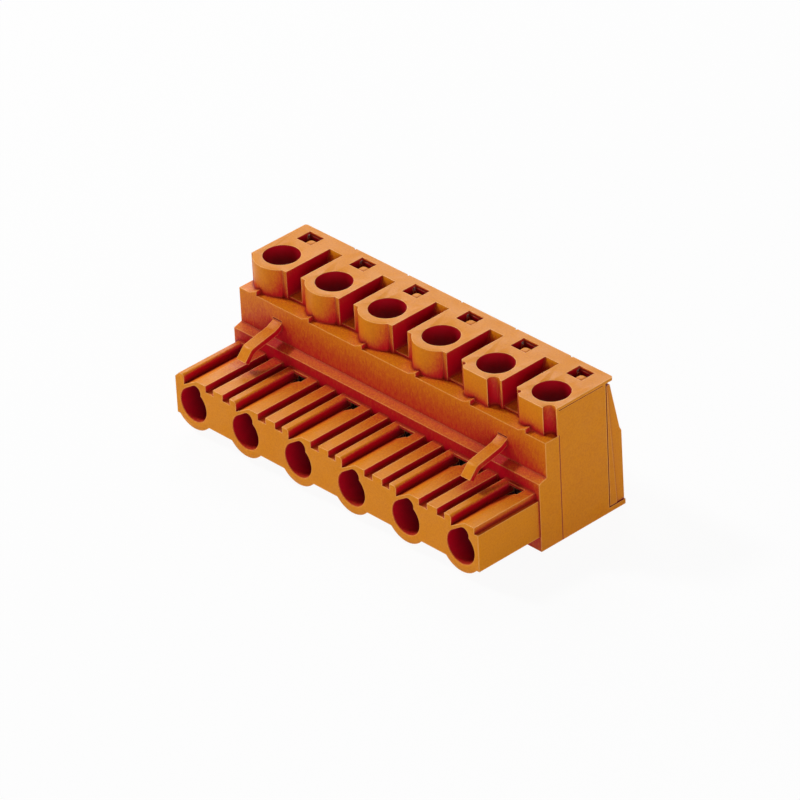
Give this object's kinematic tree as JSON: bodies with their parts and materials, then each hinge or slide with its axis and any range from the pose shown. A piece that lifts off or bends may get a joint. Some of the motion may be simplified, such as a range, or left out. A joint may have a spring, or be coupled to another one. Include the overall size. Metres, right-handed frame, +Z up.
{
  "type": "pluggable terminal block",
  "caption": "Pluggable screw terminal block for a board header: coded mating tubes in front, clamp screws reached from the top, wire entries at the back and two latching hooks.",
  "frame": {"origin": "centre of the plug's underside, halfway along the row and halfway from front to back", "axes": "+X along the row of poles, -Y towards the board header, +Y towards the wire entries, +Z up towards the screw heads"},
  "size_m": [0.0434, 0.02, 0.0152],
  "materials": {
    "housing_plastic": "satin",
    "zinc_steel": "zinc plated",
    "tinned_copper": "tin plated",
    "spring_steel": "bright"
  },
  "bodies": {
    "block": {"front_housing": "housing_plastic", "terminal_housing": "housing_plastic", "wire_entry_cover": "housing_plastic", "contact_1": "tinned_copper", "contact_spring_1": "spring_steel", "contact_2": "tinned_copper", "contact_spring_2": "spring_steel", "contact_3": "tinned_copper", "contact_spring_3": "spring_steel", "contact_4": "tinned_copper", "contact_spring_4": "spring_steel", "contact_5": "tinned_copper", "contact_spring_5": "spring_steel", "contact_6": "tinned_copper", "contact_spring_6": "spring_steel"},
    "screw_1": {"clamp_screw_1": "zinc_steel"},
    "yoke_1": {"clamping_yoke_1": "zinc_steel"},
    "screw_2": {"clamp_screw_2": "zinc_steel"},
    "yoke_2": {"clamping_yoke_2": "zinc_steel"},
    "screw_3": {"clamp_screw_3": "zinc_steel"},
    "yoke_3": {"clamping_yoke_3": "zinc_steel"},
    "screw_4": {"clamp_screw_4": "zinc_steel"},
    "yoke_4": {"clamping_yoke_4": "zinc_steel"},
    "screw_5": {"clamp_screw_5": "zinc_steel"},
    "yoke_5": {"clamping_yoke_5": "zinc_steel"},
    "screw_6": {"clamp_screw_6": "zinc_steel"},
    "yoke_6": {"clamping_yoke_6": "zinc_steel"}
  },
  "joints": [
    {"name": "screw_1_turn", "type": "hinge", "parent": "block", "child": "screw_1", "pos_m": [-0.01905, 0.00299, 0.0114], "axis": [0, 0, 1], "range_deg": [-2160, 0]},
    {"name": "yoke_1_lift", "type": "slide", "parent": "block", "child": "yoke_1", "axis": [0, 0, 1], "range_m": [0, 0.0027]},
    {"name": "screw_2_turn", "type": "hinge", "parent": "block", "child": "screw_2", "pos_m": [-0.01143, 0.00299, 0.0114], "axis": [0, 0, 1], "range_deg": [-2160, 0]},
    {"name": "yoke_2_lift", "type": "slide", "parent": "block", "child": "yoke_2", "axis": [0, 0, 1], "range_m": [0, 0.0027]},
    {"name": "screw_3_turn", "type": "hinge", "parent": "block", "child": "screw_3", "pos_m": [-0.00381, 0.00299, 0.0114], "axis": [0, 0, 1], "range_deg": [-2160, 0]},
    {"name": "yoke_3_lift", "type": "slide", "parent": "block", "child": "yoke_3", "axis": [0, 0, 1], "range_m": [0, 0.0027]},
    {"name": "screw_4_turn", "type": "hinge", "parent": "block", "child": "screw_4", "pos_m": [0.00381, 0.00299, 0.0114], "axis": [0, 0, 1], "range_deg": [-2160, 0]},
    {"name": "yoke_4_lift", "type": "slide", "parent": "block", "child": "yoke_4", "axis": [0, 0, 1], "range_m": [0, 0.0027]},
    {"name": "screw_5_turn", "type": "hinge", "parent": "block", "child": "screw_5", "pos_m": [0.01143, 0.00299, 0.0114], "axis": [0, 0, 1], "range_deg": [-2160, 0]},
    {"name": "yoke_5_lift", "type": "slide", "parent": "block", "child": "yoke_5", "axis": [0, 0, 1], "range_m": [0, 0.0027]},
    {"name": "screw_6_turn", "type": "hinge", "parent": "block", "child": "screw_6", "pos_m": [0.01905, 0.00299, 0.0114], "axis": [0, 0, 1], "range_deg": [-2160, 0]},
    {"name": "yoke_6_lift", "type": "slide", "parent": "block", "child": "yoke_6", "axis": [0, 0, 1], "range_m": [0, 0.0027]}
  ],
  "couplings": [
    {"joint": "screw_1_turn", "follows": "yoke_1_lift", "rad_per_m": -13963},
    {"joint": "screw_2_turn", "follows": "yoke_2_lift", "rad_per_m": -13963},
    {"joint": "screw_3_turn", "follows": "yoke_3_lift", "rad_per_m": -13963},
    {"joint": "screw_4_turn", "follows": "yoke_4_lift", "rad_per_m": -13963},
    {"joint": "screw_5_turn", "follows": "yoke_5_lift", "rad_per_m": -13963},
    {"joint": "screw_6_turn", "follows": "yoke_6_lift", "rad_per_m": -13963}
  ]
}
